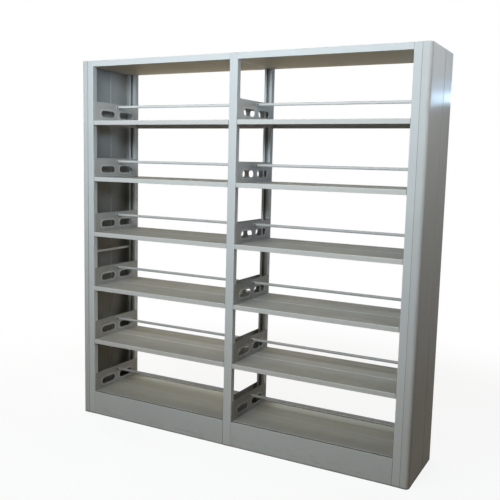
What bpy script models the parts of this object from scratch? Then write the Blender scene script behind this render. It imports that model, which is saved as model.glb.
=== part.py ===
"""Double-sided steel library book rack: two bays, six levels, made of folded sheet pieces.

Metres, +Z up, +X to the right, front towards -Y, origin on the floor under the middle of the rack.
"""

import math

import bmesh
import bpy
from mathutils import Vector

# Whole rack
HEIGHT = 2.200
DEPTH = 0.450
BAY_PITCH = 1.000
BAY_NAMES = ("left", "right")
SEAT_GAP = 0.0003  # left between two pieces that touch
WELD_BITE = 0.001  # how far one welded shape runs into the next

# Levels: the deck is level 0 and the boards above it are levels 1 to 5
DECK_TOP = 0.146
LEVEL_PITCH = 0.340
SLOTS_PER_LEVEL = 4

# Columns: a C channel with lips, open towards the middle of the rack
COLUMN_FACE = 0.050
COLUMN_SIDE = 0.036
COLUMN_LIP = 0.015
COLUMN_SHEET = 0.002
COLUMN_BEND = 0.003
COLUMN_PLATE = 0.002  # welded cap and foot plate
BEND_STEPS = 2

# Ties that weld a front column to a rear one
TIE_INSET = 0.0005  # behind the column's side
TIE_SHEET = 0.002
BASE_TIE_TOP = 0.060
TIE_DROP = 0.033  # of the base tie's flanges
END_TIE_MIDDLE = 1.035
END_TIE_HEIGHT = 0.014
END_TIE_SHEET = 0.003

# Slots in the column sides and the hooks that hang in them
SLOT_PLAY = 0.00075  # on each side of a hook
HOOK_NECK = 0.008
HOOK_SHEET = 0.0015
HOOK_PLAY = 0.0005  # between the hook's lip and the inside of the column
HOOK_LIP = 0.004
HOOK_DROP = 0.010
HOOK_SPARE = 0.002  # lift beyond the drop, which frees the hook
HOOK_HEADROOM = 0.002
LOW_HOOK_UP = 0.010  # above the board

# End panels: a tray that wraps the outer part of the end columns
PANEL_SHEET = 0.0012
PANEL_LAP = 0.008  # of the column face that the panel's return covers
PANEL_RETURN = 0.045
PANEL_BEND = 0.022
PANEL_BEND_STEPS = 5
GROOVE_BACK = 0.047  # behind the middle of the rack
GROOVE_WIDTH = 0.008
GROOVE_FLOOR = 0.004
GROOVE_DEEP = 0.003

# Folded boards
BOARD_SHEET = 0.0012
BOARD_BEND = 0.0025
BOARD_RETURN = 0.015
BOARD_LIP = 0.026
BOARD_SETBACK = 0.001  # of its lip behind the column face
CREASE_WIDTH = 0.006
CREASE_DEEP = 0.0015
DECK_SETBACK = 0.022
DECK_LIP = 0.025
COVER_LIP = 0.035

# Skirts that close the base
SKIRT_SHEET = 0.0015
SKIRT_FLANGE = 0.010
SKIRT_HEM = 0.015
SKIRT_FOOT = 0.018

# Hanging brackets
BRACKET_SHEET = 0.0015
BRACKET_ABOVE = 0.020  # of the upper hooks
BRACKET_DOWN = 0.024
BRACKET_SETBACK = 0.012
BRACKET_CORNER = 0.004
CORNER_STEPS = 1
HOLE_EDGE = 0.062  # plate left between a hole and the end of the bracket
HOLE_BRIDGE = 0.049  # plate left between the two holes
HOLE_HEIGHT = 0.039
HOLE_UP = 0.046
HOLE_STEPS = 5
RIM_WIDTH = 0.011
RIM_PROUD = 0.0020
TONGUE_REACH = 0.020
TONGUE_NEAR = 0.020  # from the middle of the rack
TONGUE_INSET = 0.050  # behind the deck's lip

# Book stop rods
ROD_RADIUS = 0.008
ROD_DROP = 0.019  # below the bracket's upper edge
ROD_SIDES = 12

# Positions worked out from the sizes above
FACE_Y = DEPTH / 2 - PANEL_SHEET - SEAT_GAP
SIDE_X = COLUMN_FACE / 2
BAY_CLEAR = BAY_PITCH - COLUMN_FACE
LIP_Y = FACE_Y - COLUMN_SIDE
LEVELS = int((HEIGHT - DECK_TOP) / LEVEL_PITCH)
LEVEL_TOPS = [DECK_TOP + LEVEL_PITCH * level for level in range(LEVELS)]
SLOT_Y = FACE_Y - COLUMN_SIDE / 2
SLOT_WIDTH = HOOK_SHEET + 2 * SLOT_PLAY
SLOT_PITCH = LEVEL_PITCH / SLOTS_PER_LEVEL
SLOT_COUNT = SLOTS_PER_LEVEL * (LEVELS - 1) + 2  # up to the pair that carries the top board
HOOK_LIFT = HOOK_DROP + HOOK_SPARE
HIGH_HOOK_UP = LOW_HOOK_UP + SLOT_PITCH
BRACKET_UP = HIGH_HOOK_UP + BRACKET_ABOVE
BRACKET_HALF = FACE_Y - BRACKET_SETBACK
BRACKET_STACK = SEAT_GAP + BRACKET_SHEET + SEAT_GAP
HOLE_LENGTH = BRACKET_HALF - HOLE_EDGE - HOLE_BRIDGE / 2
HOLE_CENTRE = (HOLE_BRIDGE + HOLE_LENGTH) / 2
DECK_HALF = FACE_Y - DECK_SETBACK
TONGUE_FAR = DECK_HALF - TONGUE_INSET
BOARD_LENGTH = BAY_CLEAR - 2 * BRACKET_STACK
FILL_LENGTH = BAY_CLEAR - 2 * SEAT_GAP
ROD_UP = BRACKET_UP - ROD_DROP
BAY_MIDDLE = (len(BAY_NAMES) - 1) / 2
BAY_CENTRES = [BAY_PITCH * (bay - BAY_MIDDLE) for bay in range(len(BAY_NAMES))]

# Finishes: base colour, roughness and metallic of the grey powder coat on each kind of piece
FINISHES = {
    "column_coat": ((0.50, 0.53, 0.54), 0.38, 0.0),
    "panel_coat": ((0.47, 0.49, 0.49), 0.40, 0.0),
    "cover_coat": ((0.50, 0.53, 0.54), 0.38, 0.0),
    "skirt_coat": ((0.46, 0.48, 0.47), 0.42, 0.0),
    "deck_coat": ((0.44, 0.45, 0.43), 0.40, 0.0),
    "board_coat": ((0.46, 0.47, 0.45), 0.36, 0.0),
    "bracket_coat": ((0.44, 0.45, 0.44), 0.42, 0.0),
    "rod_coat": ((0.52, 0.55, 0.56), 0.34, 0.0),
}


def along_x(u, v, w):
    """A flat shape drawn in Y and Z, carried along X."""
    return (w, u, v)


def along_y(u, v, w):
    """A flat shape drawn in X and Z, carried along Y."""
    return (u, w, v)


def along_z(u, v, w):
    """A flat shape drawn in X and Y, carried along Z."""
    return (u, v, w)


def rounded(points, radii, steps):
    """The polyline with an arc of its own radius at each inner corner; a radius of 0 keeps the corner."""
    points = [Vector(point) for point in points]
    path = [points[0]]
    for before, corner, after, radius in zip(points, points[1:], points[2:], radii):
        if radius == 0:
            path.append(corner)
            continue
        into = (corner - before).normalized()
        out = (after - corner).normalized()
        turn = math.atan2(into.x * out.y - into.y * out.x, into.dot(out))
        start = corner - into * radius * math.tan(abs(turn) / 2)
        inward = Vector((-into.y, into.x)) * math.copysign(radius, turn)
        for step in range(steps + 1):
            angle = turn * step / steps
            spoke = Vector((-inward.x, -inward.y))
            path.append(
                start
                + inward
                + Vector(
                    (
                        spoke.x * math.cos(angle) - spoke.y * math.sin(angle),
                        spoke.x * math.sin(angle) + spoke.y * math.cos(angle),
                    )
                )
            )
    path.append(points[-1])
    return path


def moved_left(path, distance):
    """The path moved sideways to its left, with its corners kept sharp."""
    sides = [Vector((a.y - b.y, b.x - a.x)).normalized() for a, b in zip(path, path[1:])]
    sides = [sides[0]] + sides + [sides[-1]]
    moved = []
    for point, first, second in zip(path, sides, sides[1:]):
        bisector = (first + second).normalized()
        moved.append(point + bisector * (distance / bisector.dot(second)))
    return moved


def sheet(path, thickness):
    """The closed outline of a sheet whose outer side follows the path and which lies to its left."""
    return path + moved_left(path, thickness)[::-1]


def mirrored(path):
    """The path with its first coordinate reversed, run the other way so that its left side stays inside."""
    return [Vector((-point[0], point[1])) for point in path[::-1]]


def add_prism(bm, loop, place, start, end):
    """A closed solid between two copies of a flat loop."""
    near = [bm.verts.new(place(u, v, start)) for u, v in loop]
    far = [bm.verts.new(place(u, v, end)) for u, v in loop]
    bm.faces.new(near)
    bm.faces.new(far[::-1])
    for i in range(len(loop)):
        bm.faces.new((near[i - 1], near[i], far[i], far[i - 1]))


def add_box(bm, x, y, z):
    """A box from its ranges along X, Y and Z."""
    loop = [(x[0], y[0]), (x[1], y[0]), (x[1], y[1]), (x[0], y[1])]
    add_prism(bm, loop, along_z, z[0], z[1])


def bridge(bm, first, second):
    """Walls between two loops of equal length."""
    for i in range(len(first)):
        bm.faces.new((first[i - 1], first[i], second[i], second[i - 1]))


def add_tube(bm, profile, place, start, end):
    """A hollow profile, given as its outer and inner loops, drawn between two places with open ends."""
    outer, inner = profile
    loops = []
    for loop, w in ((outer, start), (outer, end), (inner, end), (inner, start)):
        loops.append([bm.verts.new(place(u, v, w)) for u, v in loop])
    for first, second in zip(loops, loops[1:] + loops[:1]):
        bridge(bm, first, second)


def box_profile(half, low, high, bend, thickness):
    """Outer and inner loops of a boxed sheet, started at the middle of its underside."""
    corners = [(0, low), (-half, low), (-half, high), (half, high), (half, low), (0, low)]
    path = rounded(corners, [bend] * 4, BEND_STEPS)
    return path[:-1], moved_left(path, -thickness)[:-1]


def mesh_of(bm, name):
    """The mesh of a finished set of faces, all facing out."""
    bmesh.ops.recalc_face_normals(bm, faces=bm.faces[:])
    mesh = bpy.data.meshes.new(name)
    bm.to_mesh(mesh)
    bm.free()
    return mesh


def combined(first, second, operation):
    """The mesh of two closed shapes joined, or of the first cut by the second."""
    base = bpy.data.objects.new("base", first)
    tool = bpy.data.objects.new("tool", second)
    for helper in (base, tool):
        bpy.context.scene.collection.objects.link(helper)
    modifier = base.modifiers.new("combine", "BOOLEAN")
    modifier.operation = operation
    modifier.solver = "EXACT"
    modifier.object = tool
    graph = bpy.context.evaluated_depsgraph_get()
    result = bpy.data.meshes.new_from_object(base.evaluated_get(graph))
    result.name = first.name
    for helper in (base, tool):
        bpy.data.objects.remove(helper)
    return result


def make_finish(name):
    colour, roughness, metallic = FINISHES[name]
    material = bpy.data.materials.new(name)
    material.use_nodes = True
    shader = material.node_tree.nodes["Principled BSDF"]
    shader.inputs["Base Color"].default_value = (*colour, 1.0)
    shader.inputs["Roughness"].default_value = roughness
    shader.inputs["Metallic"].default_value = metallic
    return material


def put(name, mesh, x=0.0, z=0.0, carrier=None):
    """One named piece of the rack at its place, or at its place on the empty that carries it."""
    piece = bpy.data.objects.new(name, mesh)
    piece.location = (x, 0, z)
    piece.parent = carrier
    bpy.context.scene.collection.objects.link(piece)
    return piece


def column_outline():
    """Front column seen from above: lip, side, face, side, lip."""
    inner = SIDE_X - COLUMN_LIP
    corners = [
        (-inner, -LIP_Y),
        (-SIDE_X, -LIP_Y),
        (-SIDE_X, -FACE_Y),
        (SIDE_X, -FACE_Y),
        (SIDE_X, -LIP_Y),
        (inner, -LIP_Y),
    ]
    return sheet(rounded(corners, [0, COLUMN_BEND, COLUMN_BEND, 0], BEND_STEPS), COLUMN_SHEET)


def base_tie_outline():
    """The base tie seen from the front: a channel open downwards."""
    half = SIDE_X - TIE_INSET
    foot = BASE_TIE_TOP - TIE_DROP
    corners = [(half, foot), (half, BASE_TIE_TOP), (-half, BASE_TIE_TOP), (-half, foot)]
    return sheet(rounded(corners, [COLUMN_BEND] * 2, BEND_STEPS), TIE_SHEET)


def make_frame(name, slotted_sides, end_tie_side):
    """Two columns with cap and foot plates and their ties; slots only in the sides that face a bay."""
    columns = bmesh.new()
    outline = column_outline()
    for turn in (1, -1):
        add_prism(columns, [(u * turn, v * turn) for u, v in outline], along_z, 0, HEIGHT)
    welded = bmesh.new()
    plate_x = SIDE_X - COLUMN_SHEET / 2
    plate_out = FACE_Y - COLUMN_SHEET / 2
    plate_in = LIP_Y + COLUMN_SHEET / 2
    for y in ((-plate_out, -plate_in), (plate_in, plate_out)):
        for z in ((0, COLUMN_PLATE), (HEIGHT - COLUMN_PLATE, HEIGHT)):
            add_box(welded, (-plate_x, plate_x), y, z)
    tie_end = LIP_Y + WELD_BITE
    add_prism(welded, base_tie_outline(), along_y, -tie_end, tie_end)
    tie_top = HEIGHT - COLUMN_PLATE - SEAT_GAP
    top_tie = box_profile(SIDE_X - TIE_INSET, HEIGHT - COVER_LIP, tie_top, COLUMN_BEND, TIE_SHEET)
    add_tube(welded, top_tie, along_y, -tie_end, tie_end)
    if end_tie_side:
        outer = end_tie_side * (SIDE_X - COLUMN_BEND)
        inner = outer - end_tie_side * END_TIE_SHEET
        half = END_TIE_HEIGHT / 2
        tall = (END_TIE_MIDDLE - half, END_TIE_MIDDLE + half)
        add_box(welded, sorted((inner, outer)), (-tie_end, tie_end), tall)
    slots = bmesh.new()
    low = HOOK_NECK / 2 + SEAT_GAP
    high = HOOK_NECK / 2 + HOOK_LIFT + HOOK_HEADROOM
    for side in slotted_sides:
        cut_x = sorted((side * (SIDE_X - 2 * COLUMN_SHEET), side * (SIDE_X + COLUMN_SHEET)))
        for y in (-SLOT_Y, SLOT_Y):
            cut_y = (y - SLOT_WIDTH / 2, y + SLOT_WIDTH / 2)
            for step in range(SLOT_COUNT):
                middle = DECK_TOP + LOW_HOOK_UP + SLOT_PITCH * step
                add_box(slots, cut_x, cut_y, (middle - low, middle + high))
    whole = combined(mesh_of(columns, name), mesh_of(welded, "welded"), "UNION")
    return combined(whole, mesh_of(slots, "slots"), "DIFFERENCE")


def make_panel(name, side):
    """End panel: front return, rounded corner, grooved side, rounded corner, rear return and top flange."""
    inner = BAY_PITCH + SIDE_X - PANEL_LAP
    outer = inner + PANEL_RETURN
    back = DEPTH / 2
    groove = GROOVE_WIDTH / 2
    floor = GROOVE_FLOOR / 2
    corners = [
        (inner, -back),
        (outer, -back),
        (outer, GROOVE_BACK - groove),
        (outer - GROOVE_DEEP, GROOVE_BACK - floor),
        (outer - GROOVE_DEEP, GROOVE_BACK + floor),
        (outer, GROOVE_BACK + groove),
        (outer, back),
        (inner, back),
    ]
    path = rounded(corners, [PANEL_BEND, 0, 0, 0, 0, PANEL_BEND], PANEL_BEND_STEPS)
    flange = moved_left(path, PANEL_SHEET / 2)
    clear = BAY_PITCH + SIDE_X + SEAT_GAP
    flange[0].x = clear
    flange[-1].x = clear
    skin = sheet(path, PANEL_SHEET)
    if side < 0:
        skin = mirrored(skin)
        flange = mirrored(flange)
    tray = bmesh.new()
    add_prism(tray, skin, along_z, 0, HEIGHT)
    top = bmesh.new()
    add_prism(top, flange, along_z, HEIGHT - PANEL_SHEET, HEIGHT)
    return combined(mesh_of(tray, name), mesh_of(top, "flange"), "UNION")


def make_cover(name):
    """Top cover: a boxed sheet with a flat underside, its top at Z = 0."""
    cover = bmesh.new()
    profile = box_profile(FACE_Y, -COVER_LIP, 0, BOARD_BEND, BOARD_SHEET)
    add_tube(cover, profile, along_x, -FILL_LENGTH / 2, FILL_LENGTH / 2)
    return mesh_of(cover, name)


def make_board(name, half_depth, lip):
    """A board folded down at front and rear, its top at Z = 0; the crease runs along its middle."""
    corners = [
        (-half_depth + BOARD_RETURN, -lip),
        (-half_depth, -lip),
        (-half_depth, 0),
        (-CREASE_WIDTH / 2, 0),
        (0, -CREASE_DEEP),
        (CREASE_WIDTH / 2, 0),
        (half_depth, 0),
        (half_depth, -lip),
        (half_depth - BOARD_RETURN, -lip),
    ]
    path = rounded(corners, [0, BOARD_BEND, 0, 0, 0, BOARD_BEND, 0], BEND_STEPS)
    board = bmesh.new()
    add_prism(board, sheet(path, -BOARD_SHEET), along_x, -BOARD_LENGTH / 2, BOARD_LENGTH / 2)
    return mesh_of(board, name)


def make_skirt(name, front):
    """Kick plate: hem, top flange, face and foot flange."""
    outer = -FACE_Y
    corners = [
        (outer + SKIRT_FLANGE, DECK_TOP - SKIRT_HEM),
        (outer + SKIRT_FLANGE, DECK_TOP),
        (outer, DECK_TOP),
        (outer, 0),
        (outer + SKIRT_FOOT, 0),
    ]
    outline = sheet(rounded(corners, [BOARD_BEND] * 3, BEND_STEPS), SKIRT_SHEET)
    if not front:
        outline = mirrored(outline)
    skirt = bmesh.new()
    add_prism(skirt, outline, along_x, -FILL_LENGTH / 2, FILL_LENGTH / 2)
    return mesh_of(skirt, name)


def obround(centre, grow):
    """Outline of one bracket hole, larger by grow all round."""
    radius = HOLE_HEIGHT / 2 + grow
    straight = (HOLE_LENGTH - HOLE_HEIGHT) / 2
    loop = []
    for end in (1, -1):
        for step in range(HOLE_STEPS + 1):
            angle = math.pi * step / HOLE_STEPS - end * math.pi / 2
            y = centre + end * straight + radius * math.cos(angle)
            loop.append((y, HOLE_UP + radius * math.sin(angle)))
    return loop


def ring(bm, loop, x):
    """The loop's points at one X, joined by edges."""
    verts = [bm.verts.new((x, point[0], point[1])) for point in loop]
    edges = [bm.edges.new((verts[i - 1], verts[i])) for i in range(len(verts))]
    return verts, edges


def make_bracket(name, side):
    """Hanging plate with two rimmed holes, two tongues under the board and four hooks; its back is at X = 0.

    side is 1 for a plate whose bay lies towards +X and -1 for its mirror image.
    """
    corners = [
        (-BRACKET_HALF, 0),
        (-BRACKET_HALF, BRACKET_UP),
        (BRACKET_HALF, BRACKET_UP),
        (BRACKET_HALF, -BRACKET_DOWN),
        (-BRACKET_HALF, -BRACKET_DOWN),
        (-BRACKET_HALF, 0),
    ]
    outline = rounded(corners, [BRACKET_CORNER] * 4, CORNER_STEPS)[1:-1]
    front = side * BRACKET_SHEET
    plate = bmesh.new()
    back_rim, back_edges = ring(plate, outline, 0)
    front_rim, front_edges = ring(plate, outline, front)
    bridge(plate, back_rim, front_rim)
    for centre in (-HOLE_CENTRE, HOLE_CENTRE):
        hole = obround(centre, 0)
        back_hole, edges = ring(plate, hole, 0)
        back_edges += edges
        foot, edges = ring(plate, obround(centre, RIM_WIDTH), front)
        front_edges += edges
        brim, edges = ring(plate, hole, front + side * RIM_PROUD)
        bridge(plate, foot, brim)
        bridge(plate, brim, back_hole)
    bmesh.ops.triangle_fill(plate, use_beauty=True, edges=back_edges)
    bmesh.ops.triangle_fill(plate, use_beauty=True, edges=front_edges)
    extras = bmesh.new()
    tongue_top = -BOARD_SHEET - SEAT_GAP
    tongue_x = sorted((front - side * BRACKET_SHEET / 2, front + side * TONGUE_REACH))
    for tongue_y in ((-TONGUE_FAR, -TONGUE_NEAR), (TONGUE_NEAR, TONGUE_FAR)):
        add_box(extras, tongue_x, tongue_y, (tongue_top - BRACKET_SHEET, tongue_top))
    root = side * BRACKET_SHEET / 2
    lip = -side * (SEAT_GAP + COLUMN_SHEET + HOOK_PLAY)
    tip = lip - side * HOOK_LIP
    for up in (LOW_HOOK_UP, HIGH_HOOK_UP):
        top = up + HOOK_NECK / 2
        bottom = up - HOOK_NECK / 2
        blade = [
            (root, top),
            (tip, top),
            (tip, bottom - HOOK_DROP),
            (lip, bottom - HOOK_DROP),
            (lip, bottom),
            (root, bottom),
        ]
        for y in (-SLOT_Y, SLOT_Y):
            add_prism(extras, blade, along_y, y - HOOK_SHEET / 2, y + HOOK_SHEET / 2)
    return combined(mesh_of(plate, name), mesh_of(extras, "extras"), "UNION")


def make_rod(name):
    """Book stop rod along X, shaded smooth around its side."""
    loop = []
    for step in range(ROD_SIDES):
        angle = 2 * math.pi * step / ROD_SIDES
        loop.append((ROD_RADIUS * math.cos(angle), ROD_RADIUS * math.sin(angle)))
    rod = bmesh.new()
    half = BOARD_LENGTH / 2
    add_prism(rod, loop, along_x, -half, half)
    for face in rod.faces:
        face.smooth = len(face.verts) == 4
    for edge in rod.edges:
        edge.smooth = all(face.smooth for face in edge.link_faces)
    return mesh_of(rod, name)


for old in list(bpy.data.objects):
    bpy.data.objects.remove(old)

finishes = {name: make_finish(name) for name in FINISHES}

# Upright frames and the end panels that close the rack's ends
frames = {
    "left": make_frame("frame_left", (1,), -1),
    "middle": make_frame("frame_middle", (-1, 1), 0),
    "right": make_frame("frame_right", (-1,), 1),
}
for (place, mesh), x in zip(frames.items(), (-BAY_PITCH, 0, BAY_PITCH)):
    mesh.materials.append(finishes["column_coat"])
    put(f"upright_frame_{place}", mesh, x)
for place, side in (("left", -1), ("right", 1)):
    panel = make_panel(f"panel_{place}", side)
    panel.materials.append(finishes["panel_coat"])
    put(f"end_panel_{place}", panel)

# Pieces that are alike in both bays
cover = make_cover("cover")
cover.materials.append(finishes["cover_coat"])
board = make_board("board", FACE_Y - BOARD_SETBACK, BOARD_LIP)
board.materials.append(finishes["board_coat"])
deck = make_board("deck", DECK_HALF, DECK_LIP)
deck.materials.append(finishes["deck_coat"])
skirts = {"front": make_skirt("skirt_front", True), "rear": make_skirt("skirt_rear", False)}
for skirt in skirts.values():
    skirt.materials.append(finishes["skirt_coat"])
brackets = {"left": make_bracket("bracket_left", 1), "right": make_bracket("bracket_right", -1)}
for bracket in brackets.values():
    bracket.materials.append(finishes["bracket_coat"])
rod = make_rod("rod")
rod.materials.append(finishes["rod_coat"])

# Each level hangs on its own empty, which stands on the line that the level is lifted along
for bay, x in zip(BAY_NAMES, BAY_CENTRES):
    put(f"top_cover_{bay}", cover, x, HEIGHT)
    for place, skirt in skirts.items():
        put(f"skirt_{bay}_{place}", skirt, x)
    for level, top in enumerate(LEVEL_TOPS):
        carrier = put(f"level_{bay}_{level}", None, x, top)
        if level == 0:
            put(f"deck_{bay}", deck, carrier=carrier)
        else:
            put(f"shelf_{bay}_{level}", board, carrier=carrier)
        plate_x = BAY_CLEAR / 2 - SEAT_GAP
        put(f"bracket_{bay}_{level}_left", brackets["left"], -plate_x, carrier=carrier)
        put(f"bracket_{bay}_{level}_right", brackets["right"], plate_x, carrier=carrier)
        put(f"rod_{bay}_{level}", rod, z=ROD_UP, carrier=carrier)
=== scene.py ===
import math

import bmesh
import bpy
from mathutils import Matrix, Vector


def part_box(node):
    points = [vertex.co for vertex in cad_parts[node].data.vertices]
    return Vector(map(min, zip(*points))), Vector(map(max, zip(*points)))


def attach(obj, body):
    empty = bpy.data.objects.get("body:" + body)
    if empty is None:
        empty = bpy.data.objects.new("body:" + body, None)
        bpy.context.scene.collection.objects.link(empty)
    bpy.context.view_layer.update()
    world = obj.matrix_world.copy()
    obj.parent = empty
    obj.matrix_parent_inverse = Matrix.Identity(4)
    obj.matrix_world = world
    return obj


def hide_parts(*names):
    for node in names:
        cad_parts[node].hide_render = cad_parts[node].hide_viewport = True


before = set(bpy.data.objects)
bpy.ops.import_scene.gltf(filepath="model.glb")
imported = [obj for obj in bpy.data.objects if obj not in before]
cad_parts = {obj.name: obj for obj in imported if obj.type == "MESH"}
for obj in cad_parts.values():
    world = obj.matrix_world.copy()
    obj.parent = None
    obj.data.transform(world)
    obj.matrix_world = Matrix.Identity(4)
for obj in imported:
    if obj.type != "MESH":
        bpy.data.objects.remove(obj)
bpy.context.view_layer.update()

# Upright frames
# Three welded frames carry the rack. Each is a front and a rear column, roll formed from 2 mm steel into a
# lipped channel and punched with hook slots, with cap and foot plates and ties welded on and a powder coat.
frame_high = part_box("upright_frame_middle")[1]
deck_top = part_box("deck_left")[1].z
level_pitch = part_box("shelf_left_2")[1].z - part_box("shelf_left_1")[1].z
COLUMN_HALF = frame_high.x
FACE_Y = frame_high.y
RACK_TOP = frame_high.z
COLUMN_SIDE = 0.036
COLUMN_LIP = 0.015
COLUMN_SHEET = 0.002
COLUMN_BEND = 0.003
LIP_Y = FACE_Y - COLUMN_SIDE
SLOT_WIDTH = 0.003
SLOT_HEIGHT = 0.0223
SLOT_Y = FACE_Y - COLUMN_SIDE / 2
SLOTS_PER_LEVEL = 4
SLOT_PITCH = level_pitch / SLOTS_PER_LEVEL
SLOT_COUNT = 22
SLOT_RISE = 0.0057  # from the top of the deck to the lower end of the lowest slot
FIRST_SLOT = deck_top + SLOT_RISE
WELD_BITE = 0.001
SEAM_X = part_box("end_panel_right")[0].x
TIE_INSET = 0.0005
TIE_SHEET = 0.002
BASE_TIE_TOP = 0.060
BASE_TIE_DROP = 0.033
TOP_TIE_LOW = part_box("top_cover_left")[0].z
TOP_TIE_SINK = 0.0023  # below the top of the columns
TOP_TIE_HIGH = RACK_TOP - TOP_TIE_SINK
END_TIE_LOW = 1.028
END_TIE_HIGH = 1.042
END_TIE_SHEET = 0.003
COLUMN_GREY = (0.46, 0.475, 0.475)
SEAM_SHADOW = (0.003, 0.0012)  # no painted shadow this far from the seam, and darkest this close to it
SEAM_SHADOW_COVER = 0.8
RUN_Y = Matrix(((-1, 0, 0), (0, 0, 1), (0, 1, 0))).to_4x4()  # an outline in X and Z, drawn along Y


class Shade:
    """A shader socket that can be added, subtracted and multiplied like a number."""

    def __init__(self, tree, socket=None):
        self.tree = tree
        self.socket = socket

    def node(self, kind, settings=None, inputs=None, output=0):
        """Adds a node, sets it up, feeds its sockets and gives back one of its outputs."""
        made = self.tree.nodes.new("ShaderNode" + kind)
        for name, value in (settings or {}).items():
            setattr(made, name, value)
        for key, value in (inputs or {}).items():
            if isinstance(value, Shade):
                self.tree.links.new(value.socket, made.inputs[key])
            else:
                made.inputs[key].default_value = value
        return Shade(self.tree, made.outputs[output])

    def math(self, operation, *numbers):
        return self.node("Math", {"operation": operation}, dict(enumerate(numbers)))

    def __add__(self, other):
        return self.math("ADD", self, other)

    __radd__ = __add__

    def __sub__(self, other):
        return self.math("SUBTRACT", self, other)

    def __rsub__(self, other):
        return self.math("SUBTRACT", other, self)

    def __mul__(self, other):
        return self.math("MULTIPLY", self, other)

    __rmul__ = __mul__

    def __abs__(self):
        return self.math("ABSOLUTE", self)

    def most(self, other):
        """The larger of two values."""
        return self.math("MAXIMUM", self, other)

    def between(self, low, high):
        """0 at low, 1 at high, with a soft rise between them; low may be the larger one."""
        ends = {"From Min": low, "From Max": high}
        return self.node("MapRange", {"interpolation_type": "SMOOTHSTEP"}, {"Value": self, **ends})


def part_of(place, axis):
    """One coordinate of a place on the surface."""
    return place.node("SeparateXYZ", None, {0: place}, axis)


def noise(place, scale, detail=2.0):
    return place.node("TexNoise", None, {"Vector": place, "Scale": scale, "Detail": detail}, "Fac")


def stretched(place, scale):
    """The place with each axis stretched by its own factor, for marks that run one way."""
    return place.node("Mapping", None, {"Vector": place, "Scale": scale})


def mixed(factor, first, second):
    return factor.node("Mix", {"data_type": "RGBA"}, {0: factor, 6: first, 7: second}, 2)


def shaded(colour, share):
    """A colour made lighter or darker, with its alpha."""
    return (*(share * channel for channel in colour), 1)


COAT_SPECULAR = 0.004
CLOUD_SCALE = 5
CLOUD_TONES = (0.95, 1.05)
CLOUD_GLOSS = 0.12
PEEL_SCALE = 420
PEEL_HEIGHT = 0.00002
GRAIN_SCALE = 230
GRAIN_HEIGHT = 0.00001
GRAIN_WORN = (0.25, 0.6)
WAVE_SCALE = 7
WAVE_HEIGHT = 0.0003
DUST_SLOPE = (0.6, 0.95)  # how far up a face looks where dust starts to lie, and where it lies full
DUST_SCALE = 9
DUST_PATCHES = (0.3, 0.75)
DUST_COVER = 0.76
DUST_PATCH_COVER = 0.12
DUST_DULLING = 0.2
RUB_POLISH = 0.1
# lighter on folds, rims and cut edges: wear, and partly a painted highlight
WORN_AND_HIGHLIGHT_GREY = (0.68, 0.69, 0.68, 1)
DUST = (0.225, 0.21, 0.175, 1)
# the colour of painted shade: along every foot, in the seam beside the end panels and on the decks
PAINTED_SHADE = (0.12, 0.115, 0.105, 1)
FOOT_SHADE_HEIGHT = 0.012  # height of the painted shade line along the floor
FOOT_SHADE_COVER = 0.8


def powder_coat(name, colour, roughness, dust, marks, mark_colour, mark_roughness, wear_and_highlight=0.3):
    """Powder coat: orange peel, clouding, rubbed folds with a painted highlight, dust on flats, a painted
    shade along the foot and marks of its own.
    """
    material = bpy.data.materials.new(name)
    material.use_nodes = True
    shader = material.node_tree.nodes["Principled BSDF"]
    coat = Shade(material.node_tree)
    place = coat.node("TexCoord", output="Object")
    clouds = noise(place, CLOUD_SCALE, detail=3)
    peel = noise(place, PEEL_SCALE)
    grain = noise(place, GRAIN_SCALE, detail=4)
    upward = part_of(coat.node("NewGeometry", output="Normal"), "Z").between(*DUST_SLOPE)
    patches = noise(place, DUST_SCALE, detail=4).between(*DUST_PATCHES)
    settled = upward * (patches * DUST_PATCH_COVER + DUST_COVER) * dust
    edge = coat.node("Attribute", {"attribute_name": "edge"}, None, "Fac")
    worn_and_highlit = edge * grain.between(*GRAIN_WORN) * wear_and_highlight
    # a painted shade line along the foot of the piece
    foot_shade = part_of(place, "Z").between(FOOT_SHADE_HEIGHT, 0) * FOOT_SHADE_COVER
    marked = marks(place)
    tone = mixed(clouds, *(shaded(colour, share) for share in CLOUD_TONES))
    tone = mixed(marked, tone, mark_colour)
    tone = mixed(settled, tone, DUST)
    tone = mixed(worn_and_highlit, tone, WORN_AND_HIGHLIGHT_GREY)
    tone = mixed(foot_shade, tone, PAINTED_SHADE)
    gloss = roughness + (clouds - 0.5) * CLOUD_GLOSS
    gloss = gloss + settled * DUST_DULLING + marked * mark_roughness - worn_and_highlit * RUB_POLISH
    relief = peel * PEEL_HEIGHT + grain * GRAIN_HEIGHT + noise(place, WAVE_SCALE) * WAVE_HEIGHT
    bump = coat.node("Bump", None, {"Distance": 1.0, "Strength": 1.0, "Height": relief})
    for socket, value in (("Base Color", tone), ("Roughness", gloss), ("Normal", bump)):
        material.node_tree.links.new(value.socket, shader.inputs[socket])
    shader.inputs["Specular IOR Level"].default_value = COAT_SPECULAR
    return material


RIM = 0.0003  # radius of a cut sheet edge under its coat
RIM_STEPS = 2
FOLD_STEPS = 5
RUB_RADIUS = 0.006  # a wider roll isn't rubbed bare or given a painted highlight
TOUCH = 1e-5
CUT_ANGLE = math.radians(60)
FLAT_WEIGHT = 100  # how far the flats decide the shading of the folds beside them


def blank_sheet():
    """An empty mesh whose faces can be marked as folds and cut edges, where a coat rubs first and gets a
    painted highlight.
    """
    bm = bmesh.new()
    bm.faces.layers.float.new("edge")
    return bm


def mark_edges(bm, faces):
    layer = bm.faces.layers.float["edge"]
    for face in faces:
        face[layer] = 1


def rounded(bm, edges, radius, steps):
    """Rounds edges with an arc."""
    made = bmesh.ops.bevel(
        bm, geom=edges, offset=radius, offset_type="OFFSET", segments=steps, profile=0.5, affect="EDGES",
        clamp_overlap=False, material=-1,
    )
    if radius < RUB_RADIUS:
        mark_edges(bm, made["faces"])


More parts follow.
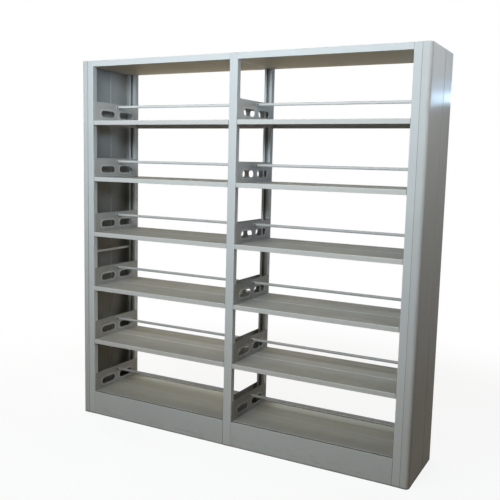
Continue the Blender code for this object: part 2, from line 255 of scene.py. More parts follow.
def drawn_strip(corners, stations, closed=False):
    """Thin sheet drawn along Z through its stations, from an outline with the sheet's inside on its right."""
    bm = blank_sheet()
    line = [bm.verts.new((u, v, stations[0])) for u, v in corners]
    front = [bm.edges.new(pair) for pair in zip(line, line[1:])]
    if closed:
        front.append(bm.edges.new((line[-1], line[0])))
    for low, high in zip(stations, stations[1:]):
        drawn = bmesh.ops.extrude_edge_only(bm, edges=front)["geom"]
        risen = {item for item in drawn if isinstance(item, bmesh.types.BMVert)}
        bmesh.ops.translate(bm, verts=list(risen), vec=(0, 0, high - low))
        edges = [item for item in drawn if isinstance(item, bmesh.types.BMEdge)]
        front = [edge for edge in edges if set(edge.verts) <= risen]
    return bm


def fold(bm, corner, radius, steps=FOLD_STEPS):
    """Rounds the fold that runs along Z through one corner of the outline."""
    point = Vector(corner)
    ridge = [edge for edge in bm.edges if all((vert.co.xy - point).length < TOUCH for vert in edge.verts)]
    rounded(bm, ridge, radius, steps)


def thicken(bm, sheet):
    """Gives the strip its thickness, inwards, and breaks its cut edges."""
    bmesh.ops.solidify(bm, geom=bm.faces[:], thickness=sheet)
    bm.normal_update()
    rounded(bm, [edge for edge in bm.edges if edge.calc_face_angle(0) > CUT_ANGLE], RIM, RIM_STEPS)


def flat_bar(bm, low, high):
    """A flat bar or plate between two corners, with its edges broken."""
    verts = bmesh.ops.create_cube(bm, size=1)["verts"]
    bmesh.ops.scale(bm, vec=Vector(high) - Vector(low), verts=verts)
    bmesh.ops.translate(bm, vec=(Vector(high) + Vector(low)) / 2, verts=verts)
    rounded(bm, list({edge for vert in verts for edge in vert.link_edges}), RIM, RIM_STEPS)


def joined(shells):
    """One mesh of several shells."""
    whole = bmesh.new()
    for shell in shells:
        mesh = bpy.data.meshes.new("shell")
        shell.to_mesh(mesh)
        shell.free()
        whole.from_mesh(mesh)
        bpy.data.meshes.remove(mesh)
    return whole


def add_piece(name, bm, material, body, nodes=()):
    """A smooth piece with even shading on its flats, which moves with its body and stands for its nodes."""
    mesh = bpy.data.meshes.new(name)
    bm.to_mesh(mesh)
    bm.free()
    mesh.shade_smooth()
    mesh.materials.append(material)
    piece = bpy.data.objects.new(name, mesh)
    bpy.context.scene.collection.objects.link(piece)
    piece.modifiers.new("even_flats", "WEIGHTED_NORMAL").weight = FLAT_WEIGHT
    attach(piece, body)
    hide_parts(*nodes)
    return piece


def make_column(slotted_sides):
    """The front column: lip, side, face, side and lip, with slots punched in the given sides."""
    lip_end = COLUMN_HALF - COLUMN_LIP
    near = -SLOT_Y + SLOT_WIDTH / 2
    far = -SLOT_Y - SLOT_WIDTH / 2
    right = [(lip_end, -LIP_Y)] + [(COLUMN_HALF, y) for y in (-LIP_Y, near, far, -FACE_Y)]
    left = [(-u, v) for u, v in reversed(right)]
    slots = [FIRST_SLOT + SLOT_PITCH * step for step in range(SLOT_COUNT)]
    stations = [0] + [z for low in slots for z in (low, low + SLOT_HEIGHT)] + [RACK_TOP]
    bm = drawn_strip(right + left, stations)
    punched = []
    for face in bm.faces:
        middle = face.calc_center_median()
        in_row = any(low < middle.z < low + SLOT_HEIGHT for low in slots)
        on_side = any(abs(middle.x - side * COLUMN_HALF) < TOUCH for side in slotted_sides)
        if in_row and on_side and far < middle.y < near:
            punched.append(face)
    bmesh.ops.delete(bm, geom=punched, context="FACES")
    for side in (-1, 1):
        for y in (-LIP_Y, -FACE_Y):
            fold(bm, (side * COLUMN_HALF, y), COLUMN_BEND)
    thicken(bm, COLUMN_SHEET)
    return bm


def make_frame(x, slotted_sides, end_tie_side):
    """Both columns of one frame with their plates and ties."""
    front = make_column(slotted_sides)
    rear = make_column([-side for side in slotted_sides])
    bmesh.ops.rotate(rear, matrix=Matrix.Rotation(math.pi, 3, "Z"), verts=rear.verts)
    half = COLUMN_HALF - TIE_INSET
    reach = [-LIP_Y - WELD_BITE, LIP_Y + WELD_BITE]
    foot = BASE_TIE_TOP - BASE_TIE_DROP
    base_tie = drawn_strip([(-half, foot), (-half, BASE_TIE_TOP), (half, BASE_TIE_TOP), (half, foot)], reach)
    top_corners = [(-half, TOP_TIE_LOW), (-half, TOP_TIE_HIGH), (half, TOP_TIE_HIGH), (half, TOP_TIE_LOW)]
    top_tie = drawn_strip(top_corners, reach, closed=True)
    for corner in ((-half, BASE_TIE_TOP), (half, BASE_TIE_TOP)):
        fold(base_tie, corner, COLUMN_BEND)
    for corner in top_corners:
        fold(top_tie, corner, COLUMN_BEND)
    for tie in (base_tie, top_tie):
        thicken(tie, TIE_SHEET)
        bmesh.ops.transform(tie, matrix=RUN_Y, verts=tie.verts)
    flat = blank_sheet()
    wall = COLUMN_SHEET / 2
    for end in (-1, 1):
        ys = sorted((end * (FACE_Y - wall), end * (LIP_Y + wall)))
        for low in (0, RACK_TOP - COLUMN_SHEET):
            flat_bar(flat, (wall - COLUMN_HALF, ys[0], low), (COLUMN_HALF - wall, ys[1], low + COLUMN_SHEET))
    if end_tie_side:
        outer = end_tie_side * (COLUMN_HALF - COLUMN_BEND)
        xs = sorted((outer, outer - end_tie_side * END_TIE_SHEET))
        flat_bar(flat, (xs[0], reach[0], END_TIE_LOW), (xs[1], reach[1], END_TIE_HIGH))
    whole = joined([front, rear, base_tie, top_tie, flat])
    bmesh.ops.translate(whole, verts=whole.verts, vec=(x, 0, 0))
    return whole


def seam_shadow(place):
    """A painted shadow line in the seam along the end panel's edge, on the face of the end columns."""
    beside = abs(abs(part_of(place, "X")) - SEAM_X).between(*SEAM_SHADOW)
    on_face = abs(part_of(place, "Y")).between(FACE_Y - COLUMN_SHEET, FACE_Y - TOUCH)
    return beside * on_face * SEAM_SHADOW_COVER


column_coat = powder_coat(
    "column_powder_coat", COLUMN_GREY, roughness=0.45, dust=0.3,
    marks=seam_shadow, mark_colour=PAINTED_SHADE, mark_roughness=0.2,
)
# place, sides with slots, side with the thin tie
FRAMES = (("left", (1,), -1), ("middle", (-1, 1), 0), ("right", (-1,), 1))
for place_name, slotted_sides, end_tie_side in FRAMES:
    node = f"upright_frame_{place_name}"
    low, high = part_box(node)
    bm = make_frame((low.x + high.x) / 2, slotted_sides, end_tie_side)
    add_piece(f"{node}_steel", bm, column_coat, "rack", [node])

# End panels
# A tall tray of 1.2 mm sheet closes each end of the rack: its front and rear edges are rolled round and lap
# the outer part of the end columns, a stiffening groove is pressed in its side, and a flange closes its top.
PANEL_SHEET = 0.0012
PANEL_BEND = 0.022
PANEL_BEND_STEPS = 12
GROOVE_Y = 0.047
GROOVE_WIDTH = 0.008
GROOVE_FLOOR = 0.004
GROOVE_DEEP = 0.003
GROOVE_BEND = 0.0012
GROOVE_STEPS = 3
PANEL_GREY = (0.44, 0.45, 0.445)
# the colour of the painted shade on the panel's sides
PANEL_SHADE_GREY = (0.19, 0.185, 0.165, 1)
INNER_SIDE = (0, -0.5)
OUTER_SIDE = (0.3, 0.9)
INNER_SHADE_HEIGHTS = (2.1, 1.2)  # no painted shade above the first, darkest below the second
OUTER_SHADE_HEIGHTS = (0.9, 0.2)
OUTER_SHADE_COVER = 0.25
WIPING_GRAIN = (38, 38, 1.3)
WIPING_STREAKS = (0.52, 0.8)
WIPING_COVER = 0.2


def round_corners(bm, corners, radius, steps):
    """Rounds corners of a flat face."""
    bmesh.ops.bevel(
        bm, geom=corners, offset=radius, offset_type="OFFSET", segments=steps, profile=0.5, affect="VERTICES",
        clamp_overlap=False, material=-1,
    )


def make_panel(node, side):
    """Rear return, rolled corner, grooved side, rolled corner and front return, with the top flange."""
    low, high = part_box(node)
    inner, outer = sorted((abs(low.x), abs(high.x)))
    back = high.y
    groove = [(0, GROOVE_WIDTH / 2), (GROOVE_DEEP, GROOVE_FLOOR / 2), (GROOVE_DEEP, -GROOVE_FLOOR / 2)]
    groove.append((0, -GROOVE_WIDTH / 2))
    outline = [(inner, back), (outer, back)]
    outline += [(outer - deep, GROOVE_Y + along) for deep, along in groove]
    outline += [(outer, -back), (inner, -back)]
    flange_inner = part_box("upright_frame_right")[1].x + RIM
    wall = PANEL_SHEET / 2
    rim = outer - wall
    top = [(flange_inner, wall - back), (rim, wall - back), (rim, back - wall), (flange_inner, back - wall)]
    if side < 0:
        outline = [(-u, v) for u, v in reversed(outline)]
        top = [(-u, v) for u, v in reversed(top)]
    tray = drawn_strip(outline, [low.z, high.z])
    for corner in outline[1:-1]:
        if abs(corner[1]) == back:
            fold(tray, corner, PANEL_BEND, PANEL_BEND_STEPS)
        else:
            fold(tray, corner, GROOVE_BEND, GROOVE_STEPS)
    thicken(tray, PANEL_SHEET)
    flange = blank_sheet()
    lid = flange.faces.new([flange.verts.new((u, v, high.z)) for u, v in top])
    corners = [vert for vert in lid.verts if abs(abs(vert.co.x) - rim) < TOUCH]
    round_corners(flange, corners, PANEL_BEND - wall, PANEL_BEND_STEPS)
    flange.normal_update()
    thicken(flange, PANEL_SHEET)
    return joined([tray, flange])


def panel_shade_and_streaks(place):
    """Painted shade on the inner side, darker lower down, painted shade towards the bottom of the outer side,
    and wiping streaks.
    """
    facing = part_of(place.node("NewGeometry", output="Normal"), "X") * part_of(place, "X")
    height = part_of(place, "Z")
    inside = facing.between(*INNER_SIDE) * height.between(*INNER_SHADE_HEIGHTS)
    foot = facing.between(*OUTER_SIDE) * height.between(*OUTER_SHADE_HEIGHTS) * OUTER_SHADE_COVER
    streaks = noise(stretched(place, WIPING_GRAIN), 1, detail=3).between(*WIPING_STREAKS) * WIPING_COVER
    return inside.most(foot.most(streaks))


panel_coat = powder_coat(
    "panel_powder_coat", PANEL_GREY, roughness=0.2, dust=0.3,
    marks=panel_shade_and_streaks, mark_colour=PANEL_SHADE_GREY, mark_roughness=0.12,
)
for side_name, side in (("left", -1), ("right", 1)):
    node = f"end_panel_{side_name}"
    add_piece(f"{node}_steel", make_panel(node, side), panel_coat, "rack", [node])

# Kick plates
# A folded plate closes the base of each bay at the front and the rear. It is bent from 1.5 mm sheet, with a
# foot flange below, a hemmed flange above and a tab at each end, and is screwed from behind to the frames.
SKIRT_SHEET = 0.0015
SKIRT_FLANGE = 0.010
SKIRT_HEM = 0.015
SKIRT_BEND = 0.0025
RUN_X = Matrix(((0, 0, 1), (1, 0, 0), (0, 1, 0))).to_4x4()  # an outline in Y and Z, drawn along X
SCUFF_HEIGHTS = (0.11, 0.01)
SCUFF_GRAIN = (14, 14, 50)
SCUFF_PATCHES = (0.5, 0.72)
SCUFF_COVER = 0.4
JOINT_GRIME = 0.0025
SKIRT_MIDDLE = (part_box("skirt_right_front")[0].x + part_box("skirt_right_front")[1].x) / 2
SKIRT_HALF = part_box("skirt_right_front")[1].x - SKIRT_MIDDLE
SKIRT_GREY = (0.43, 0.45, 0.45)
SCUFFED_TONE = 0.6


def end_tabs(low, high, side, reach, sheet):
    """The tabs turned in at both ends of a folded plate, behind its face; side is -1 at the front."""
    tabs = blank_sheet()
    outer = max(abs(low.y), abs(high.y))
    ys = sorted((side * (outer - sheet / 2), side * (outer - reach)))
    for x in (low.x, high.x - sheet):
        flat_bar(tabs, (x, ys[0], low.z + sheet / 2), (x + sheet, ys[1], high.z - sheet / 2))
    return tabs


def make_skirt(node, side):
    """Foot flange, face, top flange and hem, with tabs at the ends; side is -1 at the front."""
    low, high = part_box(node)
    foot, outer = sorted((abs(low.y), abs(high.y)))
    flange = outer - SKIRT_FLANGE
    outline = [(-foot, low.z), (-outer, low.z), (-outer, high.z), (-flange, high.z)]
    outline.append((-flange, high.z - SKIRT_HEM))
    if side > 0:
        outline = [(-u, v) for u, v in reversed(outline)]
    bm = drawn_strip(outline, [low.x, high.x])
    for corner in outline[1:-1]:
        fold(bm, corner, SKIRT_BEND)
    thicken(bm, SKIRT_SHEET)
    bmesh.ops.transform(bm, matrix=RUN_X, verts=bm.verts)
    return joined([bm, end_tabs(low, high, side, SKIRT_FLANGE, SKIRT_SHEET)])


def shoe_scuffs(place):
    """Dull scuffs that shoes and brooms leave low on the plate, and grime in the joints at its ends."""
    low_down = part_of(place, "Z").between(*SCUFF_HEIGHTS)
    patches = noise(stretched(place, SCUFF_GRAIN), 1, detail=4).between(*SCUFF_PATCHES)
    from_middle = abs(abs(part_of(place, "X")) - SKIRT_MIDDLE)
    joint = from_middle.between(SKIRT_HALF - JOINT_GRIME, SKIRT_HALF)
    return joint.most(low_down * patches * SCUFF_COVER)


skirt_coat = powder_coat(
    "skirt_powder_coat", SKIRT_GREY, roughness=0.5, dust=0.9, wear_and_highlight=0.1,
    marks=shoe_scuffs, mark_colour=shaded(SKIRT_GREY, SCUFFED_TONE), mark_roughness=0.12,
)
for bay in ("left", "right"):
    for side_name, side in (("front", -1), ("rear", 1)):
        node = f"skirt_{bay}_{side_name}"
        add_piece(f"{node}_steel", make_skirt(node, side), skirt_coat, "rack", [node])

# Top covers
# A shallow box of folded 1.2 mm sheet spans each bay between the columns and closes the rack from above. Its
# flat underside is the ceiling of the top compartment.
COVER_SHEET = 0.0012
COVER_BEND = 0.0025
COVER_GREY = (0.485, 0.5, 0.5)
# a painted warm reflection on the underside of the cover
UNDERSIDE_REFLECTION_TINT = (0.5, 0.455, 0.38, 1)
ROLLED_GRAIN = (1.5, 30, 30)
ROLLED_STREAKS = (0.4, 0.7)
FACING_DOWN = (-0.5, -0.9)
UNDERSIDE_COVER = 0.6
UNDERSIDE_STREAK_COVER = 0.4
OUTSIDE_STREAK_COVER = 0.1


def make_cover(node):
    """A closed sheet box, open at the ends that butt against the frames."""
    low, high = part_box(node)
    outline = [(low.y, low.z), (low.y, high.z), (high.y, high.z), (high.y, low.z)]
    bm = drawn_strip(outline, [low.x, high.x], closed=True)
    for corner in outline:
        fold(bm, corner, COVER_BEND)
    thicken(bm, COVER_SHEET)
    bmesh.ops.transform(bm, matrix=RUN_X, verts=bm.verts)
    return bm


def underside_reflection_and_streaks(place):
    """A painted warm reflection on the underside, with long faint streaks in the direction that the sheet was
    rolled.
    """
    streaks = noise(stretched(place, ROLLED_GRAIN), 1, detail=3).between(*ROLLED_STREAKS)
    underside = part_of(place.node("NewGeometry", output="Normal"), "Z").between(*FACING_DOWN)
    below = underside * (streaks * UNDERSIDE_STREAK_COVER + UNDERSIDE_COVER)
    return below.most(streaks * OUTSIDE_STREAK_COVER)


cover_coat = powder_coat(
    "cover_powder_coat", COVER_GREY, roughness=0.5, dust=0.45,
    marks=underside_reflection_and_streaks, mark_colour=UNDERSIDE_REFLECTION_TINT, mark_roughness=0.06,
)
for bay in ("left", "right"):
    node = f"top_cover_{bay}"
    add_piece(f"{node}_steel", make_cover(node), cover_coat, "rack", [node])

# Hanging brackets
# A 1.5 mm pressed plate at each end of a level hooks into the column slots with four blades. Two long holes
# with raised rims lighten it, and two tongues bent out of it carry the board.
BRACKET_SHEET = 0.0015
BRACKET_CORNER = 0.004
HOLE_LENGTH = 0.125
HOLE_HEIGHT = 0.039
HOLE_CENTRE = 0.087
HOLE_UP = 0.046
HOLE_STEPS = 48
# from the foot of the rim to the hole: how far outside the hole, and how far above the plate
RIM_STAGES = ((0.011, 0), (0.0098, 0.0003), (0.0078, 0.0015), (0.005, 0.002), (0.002, 0.0019), (0, 0.0012))
TONGUE_REACH = 0.020
TONGUE_NEAR = 0.020
TONGUE_FAR = 0.1515
TONGUE_TOP = -0.0015
HOOK_SHEET = 0.0015
HOOK_NECK = 0.008
HOOK_DROP = 0.010
HOOK_LIP_IN = 0.0028  # from the plate's back to the inside of the hook
HOOK_TIP = 0.0068
HOOK_UP = 0.010  # the lower hooks, above the board
HOOK_UPS = (HOOK_UP, HOOK_UP + SLOT_PITCH)
BRACKET_GREY = (0.52, 0.51, 0.485)
# painted shade on the brackets, darker on the lower levels
BRACKET_SHADE_GREY = (0.2, 0.197, 0.18, 1)
SHADE_HEIGHTS = (2.1, 0.9)  # no painted shade above the first, darkest below the second
SHADE_PATCH_SCALE = 30
SHADE_PATCHES = (0.3, 0.7)
SHADE_COVER = 0.7
SHADE_PATCH_COVER = 0.1
LEVELS = 6


def obround(bm, centre, grow, rise):
    """Edges of one hole's outline, larger by grow all round and raised above the plate."""
    made = bmesh.ops.create_circle(bm, segments=HOLE_STEPS, radius=HOLE_HEIGHT / 2 + grow)["verts"]
    turn = Matrix.Rotation(math.pi / HOLE_STEPS, 3, "Z")
    bmesh.ops.rotate(bm, matrix=turn, verts=made)
    straight = (HOLE_LENGTH - HOLE_HEIGHT) / 2
    halves = {end: [vert for vert in made if vert.co.x * end > 0] for end in (-1, 1)}
    for end, half in halves.items():
        bmesh.ops.translate(bm, verts=half, vec=(end * straight + centre, HOLE_UP, rise))
    return list({edge for vert in made for edge in vert.link_edges})


def make_bracket():
    """The bracket at the left end of a level: its front at X = 0, facing +X, and its board's top at Z = 0."""
    low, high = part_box("bracket_left_1_left")
    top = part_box("shelf_left_1")[1].z
    plate = blank_sheet()
    ys_zs = [(low.y, low.z - top), (high.y, low.z - top), (high.y, high.z - top), (low.y, high.z - top)]
    blank = plate.faces.new([plate.verts.new((u, v, 0)) for u, v in ys_zs])
    round_corners(plate, blank.verts[:], BRACKET_CORNER, FOLD_STEPS)
    bmesh.ops.delete(plate, geom=plate.faces[:], context="FACES_ONLY")
    flat_edges = plate.edges[:]
    rings = []
    for centre in (-HOLE_CENTRE, HOLE_CENTRE):
        rings.append([obround(plate, centre, grow, rise) for grow, rise in RIM_STAGES])
        flat_edges += rings[-1][0]
    bmesh.ops.triangle_fill(plate, use_beauty=True, use_dissolve=False, edges=flat_edges, normal=(0, 0, 1))
    for ring in rings:
        for first, second in zip(ring, ring[1:]):
            lip = bmesh.ops.bridge_loops(plate, edges=first + second)["faces"]
            mark_edges(plate, lip)
    bmesh.ops.recalc_face_normals(plate, faces=plate.faces[:])
    if sum(face.normal.z for face in plate.faces) < 0:
        bmesh.ops.reverse_faces(plate, faces=plate.faces[:])
    thicken(plate, BRACKET_SHEET)
    bmesh.ops.transform(plate, matrix=RUN_X, verts=plate.verts)
    tabs = blank_sheet()
    for near, far in ((-TONGUE_FAR, -TONGUE_NEAR), (TONGUE_NEAR, TONGUE_FAR)):
        flat_bar(tabs, (-RIM, near, TONGUE_TOP - BRACKET_SHEET), (TONGUE_REACH, far, TONGUE_TOP))
    for up in HOOK_UPS:
        for y in (-SLOT_Y, SLOT_Y):
            ys = (y - HOOK_SHEET / 2, y + HOOK_SHEET / 2)
            neck = (up - HOOK_NECK / 2, up + HOOK_NECK / 2)
            tip = -BRACKET_SHEET - HOOK_TIP
            flat_bar(tabs, (tip, ys[0], neck[0]), (RIM - BRACKET_SHEET, ys[1], neck[1]))
            flat_bar(tabs, (tip, ys[0], neck[0] - HOOK_DROP), (-BRACKET_SHEET - HOOK_LIP_IN, ys[1], up))
    return joined([plate, tabs])


def shade_by_height(place):
    """Painted shade, darker on the lower levels, in faint patches."""
    low_down = part_of(place, "Z").between(*SHADE_HEIGHTS)
    patches = noise(place, SHADE_PATCH_SCALE, detail=3).between(*SHADE_PATCHES)
    return low_down * (patches * SHADE_PATCH_COVER + SHADE_COVER)


bracket_coat = powder_coat(
    "bracket_coat", BRACKET_GREY, roughness=0.5, dust=0.3, wear_and_highlight=0.25,
    marks=shade_by_height, mark_colour=BRACKET_SHADE_GREY, mark_roughness=0.1,
)
bracket_shape = make_bracket()
for bay in ("left", "right"):
    for level in range(LEVELS):
        body = f"level_{bay}_{level}" if level else "rack"
        board = f"shelf_{bay}_{level}" if level else f"deck_{bay}"
        for side_name, turn in (("left", 0), ("right", math.pi)):
            node = f"bracket_{bay}_{level}_{side_name}"
            low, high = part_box(node)
            front = low.x + TONGUE_REACH if turn else high.x - TONGUE_REACH
            bm = bracket_shape.copy()
            bmesh.ops.rotate(bm, matrix=Matrix.Rotation(turn, 3, "Z"), verts=bm.verts)
            bmesh.ops.translate(bm, verts=bm.verts, vec=(front, 0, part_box(board)[1].z))
            add_piece(f"{node}_steel", bm, bracket_coat, body, [node])
bracket_shape.free()

# Boards and decks
# Each level has a board of 1.2 mm sheet, folded down and back at the front and the rear, with a stiffening
# crease pressed along its middle. The lowest one, the deck, is narrower and stands behind the kick plates.
BOARD_SHEET = 0.0012
BOARD_BEND = 0.0025
BOARD_RETURN = 0.015
CREASE_WIDTH = 0.006
CREASE_DEEP = 0.0015
CREASE_BEND = 0.001
CREASE_STEPS = 3
BOARD_GREY = (0.468, 0.465, 0.446)
STREAKED_TONE = 0.9
BOOK_GRAIN = (45, 3, 1)
BOOK_STREAKS = (0.52, 0.8)
BOOK_COVER = 0.3
DECK_GREY = (0.36, 0.37, 0.36)
SHADE_BAND_Y = 0.055  # middle of the band of painted shade along the deck
SHADE_BAND_HALF = 0.14
SHADE_BAND_COVER = 0.9


def make_board(node):
    """Return, lip, creased top, lip and return, drawn along the bay, with tabs at the ends of the lips."""
    low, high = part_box(node)
    front_half = [(low.y + BOARD_RETURN, low.z), (low.y, low.z), (low.y, high.z), (-CREASE_WIDTH / 2, high.z)]
    rear_half = [(-u, v) for u, v in reversed(front_half)]
    crease = (0, high.z - CREASE_DEEP)
    outline = front_half + [crease] + rear_half
    bm = drawn_strip(outline, [low.x, high.x])
    for corner in outline[1:-1]:
        if abs(corner[0]) < CREASE_WIDTH:
            fold(bm, corner, CREASE_BEND, CREASE_STEPS)
        else:
            fold(bm, corner, BOARD_BEND)
    # the crease is marked like a fold, which paints a highlight along the middle of the board
    mark_edges(bm, [face for face in bm.faces if abs(face.calc_center_median().x) < CREASE_WIDTH / 2])
    thicken(bm, BOARD_SHEET)
    bmesh.ops.transform(bm, matrix=RUN_X, verts=bm.verts)
    tabs = [end_tabs(low, high, side, BOARD_RETURN, BOARD_SHEET) for side in (-1, 1)]
    return joined([bm, *tabs])


def book_rub(place):
    """Streaks across the board where books were pushed in and drawn out."""
    return noise(stretched(place, BOOK_GRAIN), 1, detail=4).between(*BOOK_STREAKS) * BOOK_COVER


def deck_shade(place):
    """Painted shade on the deck's lips, behind the kick plates, and in a broad band along the deck."""
    below = part_of(place, "Z").between(deck_top - TOUCH, deck_top - BOARD_BEND)
    band = abs(part_of(place, "Y") - SHADE_BAND_Y).between(SHADE_BAND_HALF, 0) * SHADE_BAND_COVER
    return below.most(band)


board_coat = powder_coat(
    "board_powder_coat", BOARD_GREY, roughness=0.5, dust=0.9, wear_and_highlight=0.6,
    marks=book_rub, mark_colour=shaded(BOARD_GREY, STREAKED_TONE), mark_roughness=0.1,
)
deck_coat = powder_coat(
    "deck_powder_coat", DECK_GREY, roughness=0.5, dust=0.9, wear_and_highlight=0.2,
    marks=deck_shade, mark_colour=PAINTED_SHADE, mark_roughness=0.1,
)
for bay in ("left", "right"):
    add_piece(f"deck_{bay}_steel", make_board(f"deck_{bay}"), deck_coat, "rack", [f"deck_{bay}"])
    for level in range(1, LEVELS):
        node = f"shelf_{bay}_{level}"
        add_piece(f"{node}_steel", make_board(node), board_coat, f"level_{bay}_{level}", [node])

# Book stop rods
# A steel rod between the brackets of each level keeps the books of one side from sliding to the other. Its
# ends are chamfered and a black grub screw near each end locks it.
ROD_SIDES = 40
ROD_CHAMFER = 0.001
CHAMFER_STEPS = 3
GRUB_RADIUS = 0.0046
GRUB_PROUD = 0.0006
GRUB_DEEP = 0.004
GRUB_IN = 0.011  # from the end of the rod
GRUB_SIDES = 18
SOCKET_WALL = 0.0016
SOCKET_DEEP = 0.0004
ROD_GREY = (0.6, 0.597, 0.58)
# painted shade on the rods, darker on the lower levels
ROD_SHADE_GREY = (0.31, 0.31, 0.295, 1)
BLACK_OXIDE = (0.025, 0.024, 0.023)
OXIDE_TONES = (0.7, 1.5)
OXIDE_SPECULAR = 0.1
OXIDE_ROUGHNESS = 0.45
OXIDE_DULLING = 0.3
FILM_SCALE = 600
FILM_HEIGHT = 0.00004


def make_rod(low, high):
    """A round bar along X with chamfered ends."""
    radius = (high.z - low.z) / 2
    bm = blank_sheet()
    bmesh.ops.create_cone(
        bm, cap_ends=True, segments=ROD_SIDES, radius1=radius, radius2=radius, depth=high.x - low.x,
    )
    rims = [edge for edge in bm.edges if edge.calc_face_angle(0) > CUT_ANGLE]
    rounded(bm, rims, ROD_CHAMFER, CHAMFER_STEPS)
    bmesh.ops.transform(bm, matrix=RUN_X, verts=bm.verts)
    bmesh.ops.translate(bm, verts=bm.verts, vec=(low + high) / 2)
    return bm


def make_grub_screws(low, high):
    """The socket screws at both ends of one rod, set in its front."""
    screw = bmesh.new()
    bmesh.ops.create_cone(
        screw, cap_ends=True, segments=GRUB_SIDES, radius1=GRUB_RADIUS, radius2=GRUB_RADIUS, depth=GRUB_DEEP,
    )
    head = max(screw.faces, key=lambda face: face.calc_center_median().z)
    bmesh.ops.inset_individual(screw, faces=[head], thickness=SOCKET_WALL, depth=0)
    sunk = bmesh.ops.extrude_discrete_faces(screw, faces=[head])["faces"][0]
    bmesh.ops.translate(screw, verts=sunk.verts[:], vec=(0, 0, -SOCKET_DEEP))
    bmesh.ops.rotate(screw, matrix=Matrix.Rotation(math.pi / 2, 3, "X"), verts=screw.verts)
    other = screw.copy()
    depth = low.y - GRUB_PROUD + GRUB_DEEP / 2
    for shell, x in ((screw, low.x + GRUB_IN), (other, high.x - GRUB_IN)):
        bmesh.ops.translate(shell, verts=shell.verts, vec=(x, depth, (low.z + high.z) / 2))
    return joined([screw, other])


def black_oxide():
    """Blackened screw steel with a trace of oil."""
    material = bpy.data.materials.new("screw_black_oxide")
    material.use_nodes = True
    shader = material.node_tree.nodes["Principled BSDF"]
    place = Shade(material.node_tree).node("TexCoord", output="Object")
    film = noise(place, FILM_SCALE, detail=3)
    tone = mixed(film, *(shaded(BLACK_OXIDE, share) for share in OXIDE_TONES))
    gloss = film * OXIDE_DULLING + OXIDE_ROUGHNESS
    bump = film.node("Bump", None, {"Distance": FILM_HEIGHT, "Height": film})
    for socket, value in (("Base Color", tone), ("Roughness", gloss), ("Normal", bump)):
        material.node_tree.links.new(value.socket, shader.inputs[socket])
    shader.inputs["Specular IOR Level"].default_value = OXIDE_SPECULAR
    return material


rod_coat = powder_coat(
    "rod_powder_coat", ROD_GREY, roughness=0.4, dust=0.2,
    marks=shade_by_height, mark_colour=ROD_SHADE_GREY, mark_roughness=0.1,
)
screw_steel = black_oxide()
for bay in ("left", "right"):
    for level in range(LEVELS):
        body = f"level_{bay}_{level}" if level else "rack"
        node = f"rod_{bay}_{level}"
        low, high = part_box(node)
        add_piece(f"{node}_steel", make_rod(low, high), rod_coat, body, [node])
        add_piece(f"grub_screws_{bay}_{level}", make_grub_screws(low, high), screw_steel, body)

# Floor and backdrop
# A plain white studio floor that keeps the rack's soft shadow and runs out into a white surround. What it
# gives back to the rack is a dimmer and warmer light than its white.
FLOOR_HALF = 12.0
FLOOR_WHITE = (0.9, 0.9, 0.9, 1)
FLOOR_BOUNCE = (0.35, 0.22, 0.09, 1)
FLOOR_GLOW = 0.87  # share of plain white beside the rack; the rest takes the shadow
SHADOW_REACH = (1.6, 3.2)  # the shadow fades out between these distances from the rack


def seen_directly(tree):
    """1 for what the camera sees itself, in a gloss or through glass, and 0 for the light that it gives."""
    ray = Shade(tree)
    seen = ray.node("LightPath", output="Is Camera Ray")
    for way in ("Is Glossy Ray", "Is Transmission Ray"):
        seen = seen.most(ray.node("LightPath", output=way))
    return seen


floor_bm = bmesh.new()
bmesh.ops.create_grid(floor_bm, x_segments=1, y_segments=1, size=FLOOR_HALF)
floor_mesh = bpy.data.meshes.new("studio_floor")
floor_bm.to_mesh(floor_mesh)
floor_bm.free()
floor = bpy.data.objects.new("studio_floor", floor_mesh)
bpy.context.scene.collection.objects.link(floor)
floor_paint = bpy.data.materials.new("studio_floor_paint")
floor_paint.use_nodes = True
tree = floor_paint.node_tree
tree.nodes.remove(tree.nodes["Principled BSDF"])
paint = Shade(tree)
floor_place = paint.node("TexCoord", output="Object")
distance = floor_place.node("VectorMath", {"operation": "LENGTH"}, {0: floor_place}, "Value")
away = distance.between(*SHADOW_REACH)
matte = paint.node("BsdfDiffuse", None, {"Color": mixed(seen_directly(tree), FLOOR_BOUNCE, FLOOR_WHITE)})
glow = paint.node("Emission", None, {"Color": (1, 1, 1, 1), "Strength": 1.0})
glowing = (away * (1 - FLOOR_GLOW) + FLOOR_GLOW) * seen_directly(tree)
lift = paint.node("MixShader", None, {0: glowing, 1: matte, 2: glow})
tree.links.new(lift.socket, tree.nodes["Material Output"].inputs["Surface"])
floor_mesh.materials.append(floor_paint)

# Light
# A broad soft light high in front and a weaker one lower down, soft lights on the right, the left and above,
# a cool light behind on the right, brightest at its lower edge, a warm light and a low one behind, a narrow
# strip close behind each deck, and a faint fill all round.
FILL_LOW = (0.02, 0.018, 0.014, 1)
FILL_HIGH = (0.07, 0.065, 0.06, 1)
FILL_RISE = (-0.4, 0.8)
STUDIO_WHITE = (1.0, 1.0, 1.0)
WINDOW_BLUE = (0.52, 0.74, 1.0)
STRIP_WHITE = (0.85, 0.97, 1.0)
WIDE = math.pi
NARROW = math.radians(50)
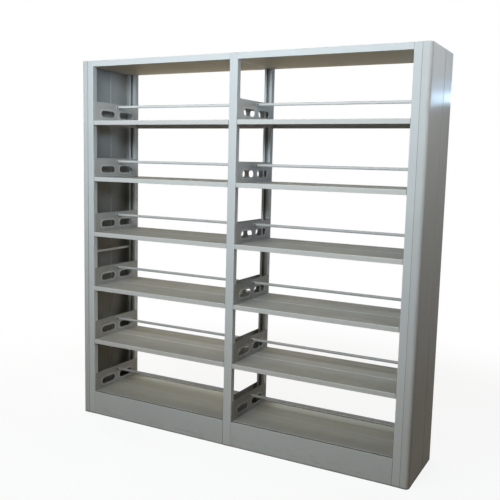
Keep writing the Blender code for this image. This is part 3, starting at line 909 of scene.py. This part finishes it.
# name, place, aim, size, watts, colour, spread
LAMPS = (
    ("front_softbox", (-0.15, -2.3, 2.5), (-0.15, 0, 2.2), (3.4, 0.7), 93, (0.82, 0.92, 1.0), WIDE),
    ("front_fill", (0, -4.0, 1.5), (0, 0, 1.0), (2.4, 0.8), 19, (0.95, 1.0, 0.93), WIDE),
    ("right_softbox", (2.2, -0.6, 2.6), (1.06, 0, 2.0), (0.6, 0.4), 11, (1.0, 1.0, 0.95), WIDE),
    ("window_low", (1.1, 1.7, 2.115), (1.1, 0, 2.115), (1.5, 0.07), 10.5, WINDOW_BLUE, WIDE),
    ("window_high", (1.1, 1.7, 2.195), (1.1, 0, 2.195), (1.5, 0.09), 4, WINDOW_BLUE, WIDE),
    ("window_glow", (1.5, 1.7, 2.5), (1.5, 0, 2.5), (0.4, 0.52), 4.0, (0.75, 0.85, 1.0), WIDE),
    ("rear_softbox", (-1.2, 2.6, 1.9), (0, 0, 1.7), (3.0, 0.4), 31, (1.0, 0.86, 0.53), WIDE),
    ("rear_fill", (-0.3, 0.62, 0.75), (-0.3, 0, 0.75), (2.0, 1.1), 8, (1.0, 0.97, 0.88), WIDE),
    ("left_softbox", (-3.2, 1.0, 1.6), (-1.06, 0, 1.2), (1.0, 1.6), 26, STUDIO_WHITE, WIDE),
    ("top_softbox", (0, 0.02, 3.2), (0, 0.02, 2.2), (2.0, 0.2), 9, STUDIO_WHITE, WIDE),
    ("left_deck_strip", (-0.5, 0.3, 0.26), (-0.5, 0.15, 0.146), (0.8, 0.05), 0.18, STRIP_WHITE, NARROW),
    ("right_deck_strip", (0.5, 0.3, 0.26), (0.5, 0.15, 0.146), (0.8, 0.05), 0.18, STRIP_WHITE, NARROW),
)

world = bpy.data.worlds.new("white_surround")
bpy.context.scene.world = world
world.use_nodes = True
surround = Shade(world.node_tree)
risen = part_of(surround.node("TexCoord", output="Generated"), "Z").between(*FILL_RISE)
fill = mixed(risen, FILL_LOW, FILL_HIGH)
sky = mixed(seen_directly(world.node_tree), fill, (1, 1, 1, 1))
world.node_tree.links.new(sky.socket, world.node_tree.nodes["Background"].inputs["Color"])
for name, place_at, aim, size, watts, colour, spread in LAMPS:
    light = bpy.data.lights.new(name, "AREA")
    light.shape = "RECTANGLE"
    light.size, light.size_y = size
    light.energy = watts
    light.color = colour
    light.spread = spread
    lamp = bpy.data.objects.new(name, light)
    lamp.location = place_at
    lamp.rotation_euler = (Vector(aim) - Vector(place_at)).to_track_quat("-Z", "Y").to_euler()
    lamp.visible_camera = False
    bpy.context.scene.collection.objects.link(lamp)

# Camera
# It stands at eye height in front of the rack and to its right, looks a little down and is rolled by about a
# degree. Its place, angles and lens were fitted to corners of the rack.
CAMERA_AT = (1.9096, -3.5493, 1.6279)
CAMERA_YAW = -0.4923
CAMERA_PITCH = -0.1275
CAMERA_ROLL = 0.0239
CAMERA_LENS = 50.22  # mm, on a sensor 36 mm wide
camera_data = bpy.data.cameras.new("camera")
camera_data.lens = CAMERA_LENS
camera = bpy.data.objects.new("camera", camera_data)
heading = Matrix.Rotation(-CAMERA_YAW, 4, "Z") @ Matrix.Rotation(math.pi / 2 + CAMERA_PITCH, 4, "X")
camera.matrix_world = Matrix.Translation(CAMERA_AT) @ heading @ Matrix.Rotation(CAMERA_ROLL, 4, "Z")
bpy.context.scene.collection.objects.link(camera)
bpy.context.scene.camera = camera
bpy.context.scene.view_settings.view_transform = "Standard"
